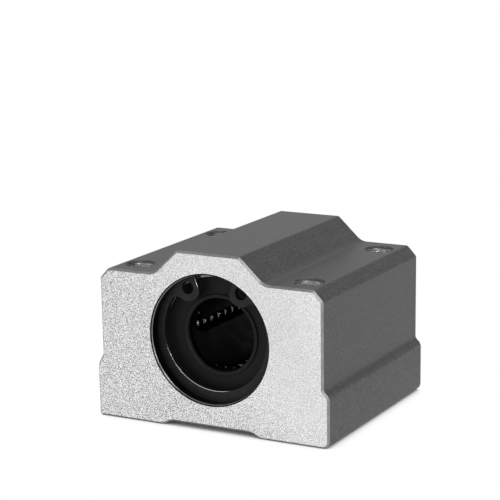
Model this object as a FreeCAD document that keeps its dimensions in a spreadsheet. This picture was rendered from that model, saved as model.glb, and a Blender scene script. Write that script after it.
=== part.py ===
import FreeCAD, Part
import Sketcher
import math
import os
import re

# Linear bearing block: an aluminium housing that holds one sealed linear ball bearing for a
# round shaft between two retaining rings.
#
# Frame: +X across the block, +Y along the shaft, +Z up. The origin is the middle of the base.
# All lengths are in millimetres and all angles in degrees.

doc = FreeCAD.newDocument("linear_bearing_block")

# Driving sizes ----------------------------------------------------------------------------

SIZES = [
    # housing outline
    ("block_width", "42.0", "width across the foot"),
    ("block_length", "36.0", "length along the shaft"),
    ("block_height", "29.0", "base to top of the ridge"),
    ("shoulder_height", "25.0", "base to the screw faces"),
    ("bore_height", "15.0", "base to the shaft axis"),
    ("upper_width", "40.0", "width above the foot"),
    ("foot_height", "8.2", "height of the full-width foot on the plain side, +X"),
    ("step_rise", "1.0", "height over which the plain side steps in"),
    ("datum_foot_height", "8.7", "height of the full-width foot on the datum side, -X"),
    ("datum_step_rise", "1.8", "height over which the datum side steps in"),
    ("foot_edge_bevel", "0.7", "bevel under the foot on the plain side"),
    ("bevel_width", "1.6", "outer shoulder bevel, across"),
    ("bevel_drop", "1.7", "outer shoulder bevel, down"),
    ("ridge_top_width", "11.2", "flat top of the ridge"),
    ("ridge_base_width", "19.8", "ridge where its flanks meet the shoulders"),
    ("ridge_fillet", "2.6", "rounded corner between ridge and shoulder"),
    ("ridge_edge_radius", "0.5", "rounded top edges of the ridge"),
    ("shoulder_edge_radius", "0.6", "rounded edges of the shoulder bevel"),
    ("step_fillet", "0.8", "rounded corner at the side step"),
    ("relief_width", "17.6", "relief under the base, at the base"),
    ("relief_roof_width", "14.6", "relief under the base, at its roof"),
    ("relief_depth", "0.8", "depth of the relief under the base"),
    ("end_edge_bevel", "0.34", "bevel round both end faces"),
    ("bore_mouth_bevel", "0.3", "bevel at both mouths of the bore"),
    # screw holes
    ("screw_spacing_across", "30.5", "screw holes, across"),
    ("screw_spacing_along", "26.0", "screw holes, along the shaft"),
    ("screw_hole", "4.3", "drilled through, tapped from above"),
    ("screw_mouth", "5.1", "countersunk mouth in the shoulder"),
    ("screw_exit_bevel", "0.25", "bevel where the hole leaves the base"),
    # bearing: outside and seats
    ("shaft_size", "12.0", "shaft that the bearing is made for"),
    ("bearing_size", "21.0", "bore of the housing and outside of the sleeve"),
    ("seat_clearance", "0.01", "radial clearance of the sleeve in the bore"),
    ("sleeve_end_bevel", "0.4", "outer end bevels of the sleeve"),
    ("sleeve_groove_inset", "3.5", "end of the sleeve to each outside groove"),
    ("sleeve_groove_width", "1.3", "width of each outside groove"),
    ("sleeve_groove_size", "20.0", "diameter at the floor of each outside groove"),
    # balls and their paths
    ("ball_size", "2.381", "ball diameter"),
    ("track_play", "0.02", "play of a loaded ball between shaft and raceway"),
    ("circuit_count", "4", "ball circuits round the shaft"),
    ("ball_gap", "0.02", "gap from one ball to the next"),
    ("row_angle", "30.0", "angle between loaded and returning row"),
    ("return_radius", "8.0", "axis to the centres of the returning balls"),
    ("land_angle", "36.0", "width of each raceway land"),
    ("return_room", "0.06", "room outside the returning balls"),
    ("raceway_run_out", "0.9", "length of the ramp at each end of a raceway"),
    # cage
    ("cage_bore", "12.6", "bore of the cage"),
    ("cage_clearance", "0.1", "radial clearance of the cage in the raceways"),
    ("collar_clearance", "0.05", "radial clearance of the cage's end collars"),
    ("cage_end_wall", "0.38", "cage wall beyond the turning balls"),
    ("cage_end_play", "0.02", "play of the cage between the side rings"),
    ("channel_room", "0.06", "room beside a ball in its channel"),
    ("channel_floor", "6.5", "axis to the flat floor of a channel"),
    ("slot_half_width", "1.13", "half of the slot that shows the loaded balls"),
    # side rings and seals
    ("seal_recess", "1.08", "end of the sleeve to the face of a seal"),
    ("seal_seat_size", "19.0", "counterbore at each end of the sleeve"),
    ("seal_seat_clearance", "0.01", "radial clearance in the counterbore"),
    ("seal_seat_bevel", "0.25", "bevel at the mouth of the counterbore"),
    ("side_ring_thickness", "0.6", "thickness of a side ring"),
    ("side_ring_bore", "14.4", "bore of a side ring"),
    ("seal_thickness", "1.2", "thickness of a seal at its rim"),
    ("seal_web", "0.7", "thickness of a seal between rim and lip"),
    ("seal_rim_bore", "17.2", "inside of the thicker rim at the back of a seal"),
    ("lip_outside", "13.3", "outside of the raised lip"),
    ("lip_rise", "0.3", "height of the lip above the face of the seal"),
    ("lip_inset", "0.35", "depth of the lip behind the face of the seal"),
    ("lip_bevel", "0.15", "bevel at the front of the lip"),
    # retaining rings
    ("ring_recess", "3.0", "end of the block to the inner side of a retaining ring"),
    ("ring_thickness", "1.0", "thickness of a retaining ring"),
    ("ring_groove_size", "22.0", "diameter of the ring grooves in the bore"),
    ("ring_groove_play", "0.05", "side play of a ring in its groove"),
    ("ring_clearance", "0.02", "radial clearance at the floor of the groove"),
    ("ring_inner_radius", "9.2", "inner edge of a retaining ring"),
    ("ring_offset", "0.45", "how far the inner edge is off centre, towards the gap"),
    ("ring_gap_angle", "40.0", "angle between the ends of a ring"),
    ("eye_angle", "64.0", "angle between the two eyes"),
    ("eye_radius", "9.05", "axis to the centre of an eye"),
    ("eye_size", "4.5", "outside of an eye"),
    ("eye_hole", "2.0", "hole in an eye"),
    ("eye_fillet", "1.2", "rounded corner between eye and ring"),
]

dims = doc.addObject("Spreadsheet::Sheet", "dims")
for row, (alias, value, meaning) in enumerate(SIZES, start=1):
    dims.set(f"A{row}", alias)
    dims.set(f"B{row}", value)
    dims.set(f"C{row}", meaning)
    dims.setAlias(f"B{row}", alias)
doc.recompute()

# Sizes that follow from the driving ones. A formula may use cells, angles in degrees, and the
# names above it in this table.
RULES = {
    "half_length": "block_length / 2",
    "shaft_radius": "shaft_size / 2",
    "bore_radius": "bearing_size / 2",
    "ball_radius": "ball_size / 2",
    "loaded_radius": "shaft_radius + ball_radius + track_play / 2",
    "raceway_radius": "shaft_radius + ball_size + track_play",
    "relief_radius": "return_radius + ball_radius + return_room",
    "loaded_offset": "loaded_radius * sin(row_angle / 2)",
    "return_offset": "return_radius * sin(row_angle / 2)",
    "turn_radius": "(return_offset + loaded_offset) / 2",
    "turn_centre": "(return_offset - loaded_offset) / 2",
    "channel_half_width": "ball_radius + channel_room",
    # places along the shaft, from the end of the block inwards
    "ring_seat": "half_length - ring_recess",
    "seal_face": "ring_seat - seal_recess",
    "seal_seat": "seal_face - seal_thickness",
    "side_ring_seat": "seal_seat - side_ring_thickness",
    "cage_half_length": "side_ring_seat - cage_end_play",
    "half_run": "cage_half_length - cage_end_wall - channel_half_width - turn_radius",
    "ramp_end": "half_run + raceway_run_out",
    # seals and retaining rings, seen along the shaft
    "seal_radius": "seal_seat_size / 2 - seal_seat_clearance",
    "ring_outer_radius": "ring_groove_size / 2 - ring_clearance",
    "eye_across": "eye_radius * sin(eye_angle / 2)",
    "eye_up": "eye_radius * cos(eye_angle / 2)",
}
CELLS = {alias for alias, value, meaning in SIZES}
TOUCH = 1e-4  # two places closer than this are the same place
TURN_STEPS = 180  # straight steps that each turn of a ball path is worked out in


def formula(text):
    """The text with every name written out in cells of the sheet, as expressions want it."""

    def written_out(found):
        name = found.group()
        if name in RULES:
            return f"({formula(RULES[name])})"
        return f"dims.{name}" if name in CELLS else name

    return re.sub(r"[a-z][a-z_]*", written_out, text)


def value_of(text):
    """Value of a formula as a plain number."""
    return float(dims.evalExpression(formula(text)))


# Building helpers -------------------------------------------------------------------------


def new_body(label):
    """Body whose origin lies on the shaft axis, half way along the block."""
    body = doc.addObject("PartDesign::Body", label)
    body.Label = label
    body.setExpression("Placement.Base.z", formula("bore_height"))
    return body


def turn_body(body, axis, angle):
    """Turn a body about an axis through its origin by an angle given as a formula."""
    body.Placement.Rotation = FreeCAD.Rotation(axis, value_of(angle))
    body.setExpression("Placement.Rotation.Angle", f"({formula(angle)}) * 1 deg")


def origin_feature(body, role):
    """The origin plane or axis of a body with the given role."""
    return next(item for item in body.Origin.OriginFeatures if item.Role == role)


def new_sketch(body, name, plane, offset="0"):
    """Sketch on one of the body's origin planes, moved along its normal by a formula."""
    sketch = body.newObject("Sketcher::SketchObject", name)
    sketch.AttachmentSupport = (origin_feature(body, plane), [""])
    sketch.MapMode = "FlatFace"
    sketch.setExpression("AttachmentOffset.Base.z", formula(offset))
    return sketch


def bind(sketch, constraint, text):
    """Add a driving constraint whose value is a formula."""
    index = sketch.addConstraint(Sketcher.Constraint(*constraint, value_of(text)))
    sketch.setExpression(f"Constraints[{index}]", formula(text))


def place_point(sketch, curve, point, across, up):
    """Fix one point of a curve at two formulas measured from the sketch's origin."""
    bind(sketch, ("DistanceX", -1, 1, curve, point), across)
    bind(sketch, ("DistanceY", -1, 1, curve, point), up)


def vector(across, up):
    """Point of a sketch from two formulas."""
    return FreeCAD.Vector(value_of(across), value_of(up), 0)


def add_outline(sketch, corners):
    """Closed outline of straight edges through corners given as pairs of formulas."""
    points = [vector(across, up) for across, up in corners]
    for start, end in zip(points, points[1:] + points[:1]):
        sketch.addGeometry(Part.LineSegment(start, end))
    for index, (across, up) in enumerate(corners):
        before = (index - 1) % len(corners)
        sketch.addConstraint(Sketcher.Constraint("Coincident", before, 2, index, 1))
        place_point(sketch, index, 1, across, up)


def add_circle(sketch, across, up, radius):
    """Circle whose centre and radius are formulas."""
    circle = Part.Circle(vector(across, up), FreeCAD.Vector(0, 0, 1), value_of(radius))
    index = sketch.addGeometry(circle)
    place_point(sketch, index, 3, across, up)
    bind(sketch, ("Radius", index), radius)


def add_arc(sketch, across, up, radius, start, end):
    """Arc between two angles in degrees, with its centre fixed across and the rest left free."""
    circle = Part.Circle(vector(across, up), FreeCAD.Vector(0, 0, 1), value_of(radius))
    arc = Part.ArcOfCircle(circle, math.radians(start), math.radians(end))
    index = sketch.addGeometry(arc)
    bind(sketch, ("DistanceX", -1, 1, index, 3), across)
    return index


def add_centred_arc(sketch, across, up, radius, start, end):
    """Arc between two angles in degrees, with its centre fixed both ways."""
    index = add_arc(sketch, across, up, radius, start, end)
    bind(sketch, ("DistanceY", -1, 1, index, 3), up)
    return index


def add_upright(sketch, across, low, high):
    """Line that starts out parallel to the sketch's second axis."""
    return sketch.addGeometry(Part.LineSegment(vector(across, low), vector(across, high)))


def join_smoothly(sketch, *joints):
    """Make curves meet end to end and tangent; a joint is (curve, point, curve, point)."""
    for joint in joints:
        sketch.addConstraint(Sketcher.Constraint("Tangent", *joint))


def add_stadium(sketch, centre, half_run, radius):
    """Oblong along the second axis: two straight sides and two half circles."""
    top = add_centred_arc(sketch, centre, half_run, radius, 0, 180)
    bottom = add_centred_arc(sketch, centre, f"-({half_run})", radius, 180, 360)
    left = add_upright(sketch, f"{centre} - ({radius})", f"-({half_run})", half_run)
    right = add_upright(sketch, f"{centre} + {radius}", f"-({half_run})", half_run)
    join_smoothly(sketch, (right, 2, top, 1), (top, 2, left, 2))
    join_smoothly(sketch, (left, 1, bottom, 1), (bottom, 2, right, 1))
    sketch.addConstraint(Sketcher.Constraint("Vertical", left))
    bind(sketch, ("Radius", top), radius)


def add_hooked_slot(sketch, centre, half_run, radius, half_width):
    """Slot along the left side of a stadium that follows a quarter turn at each end."""
    outer = f"{radius} + {half_width}"
    inner = f"{radius} - {half_width}"
    tip = f"{half_run} + {radius}"
    outside = add_upright(sketch, f"{centre} - ({outer})", f"-({half_run})", half_run)
    inside = add_upright(sketch, f"{centre} - ({inner})", f"-({half_run})", half_run)
    top_outer = add_centred_arc(sketch, centre, half_run, outer, 90, 180)
    top_inner = add_centred_arc(sketch, centre, half_run, inner, 90, 180)
    top_cap = add_arc(sketch, centre, tip, half_width, -90, 90)
    low_outer = add_centred_arc(sketch, centre, f"-({half_run})", outer, 180, 270)
    low_inner = add_centred_arc(sketch, centre, f"-({half_run})", inner, 180, 270)
    low_cap = add_arc(sketch, centre, f"-({tip})", half_width, -90, 90)
    join_smoothly(sketch, (outside, 2, top_outer, 2), (top_outer, 1, top_cap, 2))
    join_smoothly(sketch, (top_cap, 1, top_inner, 1), (top_inner, 2, inside, 2))
    join_smoothly(sketch, (inside, 1, low_inner, 1), (low_inner, 2, low_cap, 2))
    join_smoothly(sketch, (low_cap, 1, low_outer, 2), (low_outer, 1, outside, 1))
    for line in (outside, inside):
        sketch.addConstraint(Sketcher.Constraint("Vertical", line))
    bind(sketch, ("Radius", top_outer), outer)
    bind(sketch, ("Radius", top_inner), inner)


def mirror_image(corners):
    """The corners mirrored in the second axis, in reverse order."""
    return [(f"-({across})", up) for across, up in reversed(corners)]


def mirrored(corners):
    """The corners followed by their mirror image, for an outline with two equal halves."""
    return corners + mirror_image(corners)


def revolve(body, name, corners):
    """Solid turned about the shaft axis from corners (along the shaft, radius)."""
    sketch = new_sketch(body, f"{name}_profile", "YZ_Plane")
    add_outline(sketch, corners)
    turned = body.newObject("PartDesign::Revolution", name)
    turned.Profile = sketch
    turned.ReferenceAxis = (origin_feature(body, "Y_Axis"), [""])
    turned.Angle = 360
    return turned


def groove(body, name, corners):
    """Cut turned about the shaft axis from corners (along the shaft, radius)."""
    sketch = new_sketch(body, f"{name}_profile", "YZ_Plane")
    add_outline(sketch, corners)
    cut = body.newObject("PartDesign::Groove", name)
    cut.Profile = sketch
    cut.ReferenceAxis = (origin_feature(body, "Y_Axis"), [""])
    cut.Angle = 360
    return cut


def pocket_upwards(body, name, sketch):
    """Cut from a sketch through everything on the side that its normal points to."""
    cut = body.newObject("PartDesign::Pocket", name)
    cut.Profile = sketch
    cut.Type = "ThroughAll"
    cut.Reversed = True
    return cut


def repeat_round_shaft(body, name, features):
    """Repeat features once for each ball circuit, evenly round the shaft axis."""
    pattern = body.newObject("PartDesign::PolarPattern", name)
    pattern.Originals = features
    pattern.Axis = (origin_feature(body, "Y_Axis"), [""])
    pattern.Angle = 360
    pattern.setExpression("Occurrences", formula("circuit_count"))
    body.Tip = pattern
    return pattern


def edges_where(feature, wanted):
    """Names of the feature's edges for which wanted(edge) is true."""
    doc.recompute()
    numbered = enumerate(feature.Shape.Edges, start=1)
    return [f"Edge{number}" for number, edge in numbered if wanted(edge)]


def dress(body, name, kind, base, edges, amount):
    """Fillet or chamfer on edges of a feature, its size given as a formula."""
    dressed = body.newObject(f"PartDesign::{kind}", name)
    dressed.Base = (base, edges)
    dressed.setExpression("Radius" if kind == "Fillet" else "Size", formula(amount))
    return dressed


def runs_along_shaft(edge, places):
    """Whether a straight edge along the shaft passes one of the (across, up) places."""
    ends = [vertex.Point for vertex in edge.Vertexes]
    return len(ends) == 2 and any(
        all(math.hypot(end.x - value_of(across), end.z - value_of(up)) < TOUCH for end in ends)
        for across, up in places
    )


# Housing ----------------------------------------------------------------------------------
# Its body is drawn from the shaft axis too, so heights above the base lose the bore height.


def above_base(height):
    """Formula of a height above the base, measured from the shaft axis."""
    return f"{height} - bore_height"


def both_sides(across, height):
    """A place on the outline and its mirror image."""
    return [(across, above_base(height)), (f"-({across})", above_base(height))]


def screw_places():
    """Centres of the four screw holes, seen from above."""
    return [
        (f"{side} * screw_spacing_across / 2", f"{end} * screw_spacing_along / 2")
        for side in (-1, 1)
        for end in (-1, 1)
    ]


def make_housing():
    """Extruded block, machined for the bearing, its retaining rings and four screws.

    Its two sides differ at the foot only. Each half of the section is listed from the relief
    under the base up to the ridge.
    """
    body = new_body("housing")
    relief = [("relief_roof_width / 2", "relief_depth"), ("relief_width / 2", "0")]
    plain_foot = [
        ("block_width / 2 - foot_edge_bevel", "0"),
        ("block_width / 2", "foot_edge_bevel"),
        ("block_width / 2", "foot_height"),
        ("upper_width / 2", "foot_height + step_rise"),
    ]
    datum_foot = [
        ("block_width / 2", "0"),
        ("block_width / 2", "datum_foot_height"),
        ("upper_width / 2", "datum_foot_height + datum_step_rise"),
    ]
    upper_part = [
        ("upper_width / 2", "shoulder_height - bevel_drop"),
        ("upper_width / 2 - bevel_width", "shoulder_height"),
        ("ridge_base_width / 2", "shoulder_height"),
        ("ridge_top_width / 2", "block_height"),
    ]
    plain_half = relief + plain_foot + upper_part
    section = plain_half + mirror_image(relief + datum_foot + upper_part)
    sketch = new_sketch(body, "extruded_section", "XZ_Plane")
    add_outline(sketch, [(across, above_base(height)) for across, height in section])
    block = body.newObject("PartDesign::Pad", "extrusion")
    block.Profile = sketch
    block.Midplane = True
    block.setExpression("Length", formula("block_length"))

    bevel_ends = both_sides("upper_width / 2 - bevel_width", "shoulder_height")
    bevel_ends += both_sides("upper_width / 2", "shoulder_height - bevel_drop")
    step_tops = [
        ("upper_width / 2", above_base("foot_height + step_rise")),
        ("-(upper_width / 2)", above_base("datum_foot_height + datum_step_rise")),
    ]
    roundings = [
        ("ridge_roots", "ridge_fillet", both_sides("ridge_base_width / 2", "shoulder_height")),
        ("ridge_edges", "ridge_edge_radius", both_sides("ridge_top_width / 2", "block_height")),
        ("shoulder_edges", "shoulder_edge_radius", bevel_ends),
        ("step_roots", "step_fillet", step_tops),
    ]
    latest = block
    for name, radius, places in roundings:
        edges = edges_where(latest, lambda edge: runs_along_shaft(edge, places))
        latest = dress(body, name, "Fillet", latest, edges, radius)

    def on_end_face(edge):
        return all(abs(abs(vertex.Y) - value_of("half_length")) < TOUCH for vertex in edge.Vertexes)

    dress(body, "end_bevels", "Chamfer", latest, edges_where(latest, on_end_face), "end_edge_bevel")

    ring_side = "ring_seat - ring_groove_play"
    ring_other_side = "ring_seat + ring_thickness + ring_groove_play"
    bore_profile = [
        ("half_length", "0"),
        ("half_length", "bore_radius + bore_mouth_bevel"),
        ("half_length - bore_mouth_bevel", "bore_radius"),
        (ring_other_side, "bore_radius"),
        (ring_other_side, "ring_groove_size / 2"),
        (ring_side, "ring_groove_size / 2"),
        (ring_side, "bore_radius"),
    ]
    groove(body, "bearing_bore", mirrored(bore_profile))
    doc.recompute()

    centres = new_sketch(body, "screw_centres", "XY_Plane", above_base("shoulder_height"))
    for across, along in screw_places():
        add_circle(centres, across, along, "screw_hole / 2")
    doc.recompute()
    holes = body.newObject("PartDesign::Hole", "screw_holes")
    holes.Profile = centres
    holes.DepthType = "ThroughAll"
    holes.HoleCutType = "Countersink"
    holes.HoleCutCountersinkAngle = 90
    holes.setExpression("Diameter", formula("screw_hole"))
    holes.setExpression("HoleCutDiameter", formula("screw_mouth"))

    def leaves_base(edge):
        flat = all(abs(vertex.Z + value_of("bore_height")) < TOUCH for vertex in edge.Vertexes)
        return flat and isinstance(edge.Curve, Part.Circle)

    dress(body, "screw_exits", "Chamfer", holes, edges_where(holes, leaves_base), "screw_exit_bevel")
    return body


# Bearing ----------------------------------------------------------------------------------


def make_sleeve():
    """Hardened outer cylinder: four raceway lands, reliefs for the returning balls between."""
    body = new_body("bearing_sleeve")
    outer = "bore_radius - seat_clearance"
    groove_end = "ring_seat - sleeve_groove_inset"
    groove_start = f"{groove_end} - sleeve_groove_width"
    outside = [
        ("ring_seat", f"{outer} - sleeve_end_bevel"),
        ("ring_seat - sleeve_end_bevel", outer),
        (groove_end, outer),
        (groove_end, "sleeve_groove_size / 2"),
        (groove_start, "sleeve_groove_size / 2"),
        (groove_start, outer),
    ]
    inside = [
        ("half_run", "raceway_radius"),
        ("ramp_end", "relief_radius"),
        ("side_ring_seat", "relief_radius"),
        ("side_ring_seat", "seal_seat_size / 2"),
        ("ring_seat - seal_seat_bevel", "seal_seat_size / 2"),
        ("ring_seat", "seal_seat_size / 2 + seal_seat_bevel"),
    ]
    rear_half = inside + outside
    front_half = [(f"-({along})", radius) for along, radius in reversed(rear_half)]
    revolve(body, "sleeve_turning", rear_half + front_half)

    relief_end = [("ramp_end", "shaft_radius"), ("ramp_end", "relief_radius")]
    relief = groove(body, "return_relief", mirrored(relief_end))
    relief.Midplane = True
    relief.setExpression("Angle", f"360 / {formula('circuit_count')} - {formula('land_angle')}")
    repeat_round_shaft(body, "return_reliefs", [relief])
    turn_body(body, FreeCAD.Vector(0, 1, 0), "180 / circuit_count")
    return body


def make_cage():
    """Moulded cage: end collars, a closed channel for each circuit, a slot under each loaded row."""
    body = new_body("ball_cage")
    collar_start = "ramp_end + cage_clearance"
    rear_half = [
        ("cage_half_length", "cage_bore / 2"),
        ("cage_half_length", "relief_radius - collar_clearance"),
        (collar_start, "relief_radius - collar_clearance"),
        (collar_start, "raceway_radius - cage_clearance"),
    ]
    revolve(body, "cage_turning", mirrored(rear_half))

    loop = new_sketch(body, "channel_outline", "XY_Plane", "channel_floor")
    add_stadium(loop, "turn_centre", "half_run", "turn_radius + channel_half_width")
    add_stadium(loop, "turn_centre", "half_run", "turn_radius - channel_half_width")
    channel = pocket_upwards(body, "ball_channel", loop)
    opening = new_sketch(body, "slot_outline", "XY_Plane")
    add_hooked_slot(opening, "turn_centre", "half_run", "turn_radius", "slot_half_width")
    slot = pocket_upwards(body, "load_slot", opening)
    repeat_round_shaft(body, "circuits", [channel, slot])
    turn_body(body, FreeCAD.Vector(0, 1, 0), "row_angle / 2")
    return body


def faceted_ball(radius):
    """Ball as a closed solid of eighty flat faces with its corners on the true sphere."""
    golden = (1 + math.sqrt(5)) / 2
    corners = []
    for first in (-1, 1):
        for second in (-golden, golden):
            corners.append(FreeCAD.Vector(0, first, second))
            corners.append(FreeCAD.Vector(first, second, 0))
            corners.append(FreeCAD.Vector(second, 0, first))
    edge_length = min(corners[0].distanceToPoint(corner) for corner in corners[1:])

    def share_edge(a, b):
        return abs(a.distanceToPoint(b) - edge_length) < TOUCH

    triangles = [
        (a, b, c)
        for i, a in enumerate(corners)
        for j, b in enumerate(corners[:i])
        for c in corners[:j]
        if share_edge(a, b) and share_edge(b, c) and share_edge(c, a)
    ]

    def on_sphere(*points):
        middle = sum(points, FreeCAD.Vector())
        return middle.normalize() * radius

    faces = []
    for a, b, c in triangles:
        ab, bc, ca = on_sphere(a, b), on_sphere(b, c), on_sphere(c, a)
        a, b, c = on_sphere(a), on_sphere(b), on_sphere(c)
        for corner_set in ((a, ab, ca), (ab, b, bc), (ca, bc, c), (ab, bc, ca)):
            faces.append(Part.Face(Part.makePolygon([*corner_set, corner_set[0]])))
    ball = Part.Solid(Part.makeShell(faces))
    if ball.Volume < 0:
        ball.reverse()
    return ball


def path_point(turned, along):
    """Point of a ball path over its channel; turned is 0 on the loaded and pi on the returning row.

    The distance from the shaft axis swells smoothly from the one row to the other.
    """
    across = value_of("turn_centre") - value_of("turn_radius") * math.cos(turned)
    loaded, returning = value_of("loaded_radius"), value_of("return_radius")
    out = loaded + (returning - loaded) * (1 - math.cos(turned)) / 2
    return FreeCAD.Vector(across, along, math.sqrt(out**2 - across**2))


def circuit_centres():
    """Centres of one circuit's balls: as many as fit, each just clear of the one before.

    The chain starts at the tip of the front turn, so the slack that is left lies at the end of
    the returning row.
    """
    run, turn = value_of("half_run"), value_of("turn_radius")
    angles = [math.pi * step / TURN_STEPS for step in range(TURN_STEPS + 1)]
    front = [path_point(angle, -run - turn * math.sin(angle)) for angle in reversed(angles)]
    rear = [path_point(angle, run + turn * math.sin(angle)) for angle in angles]
    tip = TURN_STEPS // 2
    path = Part.makePolygon([*front[tip:], *rear, *front[: tip + 1]])
    spacing = value_of("ball_size + ball_gap")
    centres = path.discretize(Number=2)[:1]
    for point in path.discretize(Distance=value_of("ball_gap") / 4):
        if point.distanceToPoint(centres[-1]) >= spacing:
            centres.append(point)
    if centres[-1].distanceToPoint(centres[0]) < spacing:
        centres.pop()
    return centres


def make_ball_row(label, centres, turned):
    """One node of balls at the given centres, turned about the shaft axis by degrees."""
    ball = faceted_ball(value_of("ball_radius"))
    row = doc.addObject("Part::Feature", label)
    row.Label = label
    row.Shape = Part.makeCompound([ball.translated(centre) for centre in centres])
    row.Placement.Rotation = FreeCAD.Rotation(FreeCAD.Vector(0, 1, 0), turned)
    row.setExpression("Placement.Base.z", formula("bore_height"))
    return row


def make_ball_rows():
    """Loaded and returning balls of every circuit, numbered clockwise from the top."""
    half_run, turn_centre = value_of("half_run"), value_of("turn_centre")

    def carries_load(centre):
        return abs(centre.y) < half_run and centre.x < turn_centre

    centres = circuit_centres()
    loaded = [centre for centre in centres if carries_load(centre)]
    returning = [centre for centre in centres if not carries_load(centre)]
    count = int(value_of("circuit_count"))
    rows = []
    for circuit in range(count):
        turned = value_of("row_angle") / 2 + circuit * 360 / count
        rows.append(make_ball_row(f"loaded_balls_{circuit + 1}", loaded, turned))
        rows.append(make_ball_row(f"returning_balls_{circuit + 1}", returning, turned))
    return rows


def face_end(body, end):
    """Turn a part that is drawn for the rear end round to the front."""
    if end == "front":
        turn_body(body, FreeCAD.Vector(0, 0, 1), "180")
    return body


def make_side_ring(end):
    """Steel ring between the cage and a seal, against the shoulder of the counterbore."""
    body = new_body(f"{end}_side_ring")
    section = [
        ("side_ring_seat", "side_ring_bore / 2"),
        ("side_ring_seat", "seal_radius"),
        ("seal_seat", "seal_radius"),
        ("seal_seat", "side_ring_bore / 2"),
    ]
    revolve(body, "ring_turning", section)
    return face_end(body, end)


def make_seal(end):
    """Rubber seal: thick rim in the counterbore, thin web, raised lip that wipes the shaft."""
    body = new_body(f"{end}_seal")
    section = [
        ("seal_seat", "seal_rim_bore / 2"),
        ("seal_seat", "seal_radius"),
        ("seal_face", "seal_radius"),
        ("seal_face", "lip_outside / 2"),
        ("seal_face + lip_rise", "lip_outside / 2"),
        ("seal_face + lip_rise", "shaft_radius + lip_bevel"),
        ("seal_face + lip_rise - lip_bevel", "shaft_radius"),
        ("seal_face - lip_inset", "shaft_radius"),
        ("seal_face - seal_web", "lip_outside / 2"),
        ("seal_face - seal_web", "seal_rim_bore / 2"),
    ]
    revolve(body, "seal_turning", section)
    return face_end(body, end)


# Retaining rings --------------------------------------------------------------------------


def make_retaining_ring(end):
    """Flat spring ring for the bore: off-centre inner edge, a gap at the top, two eyes."""
    body = new_body(f"{end}_retaining_ring")
    seat = "-(ring_seat)"

    band = new_sketch(body, "band_outline", "XZ_Plane", seat)
    add_circle(band, "0", "0", "ring_outer_radius")
    add_circle(band, "0", "ring_offset", "ring_inner_radius")
    eyes = new_sketch(body, "eye_outline", "XZ_Plane", seat)
    for side in ("1", "-1"):
        add_circle(eyes, f"{side} * eye_across", "eye_up", "eye_size / 2")
    for name, sketch in (("band", band), ("eyes", eyes)):
        sheet_metal = body.newObject("PartDesign::Pad", name)
        sheet_metal.Profile = sketch
        sheet_metal.Reversed = True
        sheet_metal.setExpression("Length", formula("ring_thickness"))

    reach = "ring_groove_size"
    gap = new_sketch(body, "gap_outline", "XZ_Plane", seat)
    gap_side = (f"{reach} * sin(ring_gap_angle / 2)", f"{reach} * cos(ring_gap_angle / 2)")
    add_outline(gap, [("0", "0"), gap_side, (f"-({gap_side[0]})", gap_side[1])])
    holes = new_sketch(body, "hole_outline", "XZ_Plane", seat)
    for side in ("1", "-1"):
        add_circle(holes, f"{side} * eye_across", "eye_up", "eye_hole / 2")
    outside = new_sketch(body, "outside_outline", "XZ_Plane", seat)
    for radius in ("ring_outer_radius", reach):
        add_circle(outside, "0", "0", radius)
    for name, sketch in (("gap", gap), ("eye_holes", holes), ("outside", outside)):
        cut = body.newObject("PartDesign::Pocket", name)
        cut.Profile = sketch
        cut.Type = "ThroughAll"

    def meets_circle(point, across, up, radius):
        distance = math.hypot(abs(point.x) - value_of(across), point.z - value_of(up))
        return abs(distance - value_of(radius)) < TOUCH

    def is_eye_root(edge):
        """Whether the edge lies where an eye meets the band, on the side away from the gap."""
        ends = [vertex.Point for vertex in edge.Vertexes]
        on_eye = all(meets_circle(end, "eye_across", "eye_up", "eye_size / 2") for end in ends)
        on_band = all(meets_circle(end, "0", "ring_offset", "ring_inner_radius") for end in ends)
        beyond_eye = all(abs(end.x) > value_of("eye_across") for end in ends)
        return len(ends) == 2 and on_eye and on_band and beyond_eye

    dress(body, "eye_roots", "Fillet", body.Tip, edges_where(body.Tip, is_eye_root), "eye_fillet")
    return face_end(body, end)


# The whole block --------------------------------------------------------------------------

parts = [make_housing(), make_sleeve(), make_cage()]
parts += make_ball_rows()
for block_end in ("front", "rear"):
    parts += [make_side_ring(block_end), make_seal(block_end), make_retaining_ring(block_end)]
doc.recompute()

failed = [item.Name for item in doc.Objects if {"Invalid", "Error"} & set(item.State)]
failed += [part.Label for part in parts if part.Shape.isNull() or not part.Shape.isValid()]
if failed:
    raise RuntimeError(f"not built: {', '.join(failed)}")

os.makedirs("parts", exist_ok=True)
for part in parts:
    part.Shape.exportStep(f"parts/{part.Label}.step")
    print(f"{part.Label}: {len(part.Shape.Solids)} solid(s), {part.Shape.Volume:.1f} mm3")
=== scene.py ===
"""Looks of a linear bearing block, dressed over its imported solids.

An extruded aluminium housing with blasted end faces holds a sealed linear ball bearing between
two blackened retaining rings. The housing gets its screw threads, the balls get round, and every
surface gets the finish that its making leaves on it.

Fields hold lengths in millimetres and angles in degrees. Meshes and lamps are in metres.
"""

import logging
import math
from dataclasses import dataclass
from enum import Enum
from typing import Any, Optional, Protocol, Union

import bmesh
import bpy
from mathutils import Matrix, Vector


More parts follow.
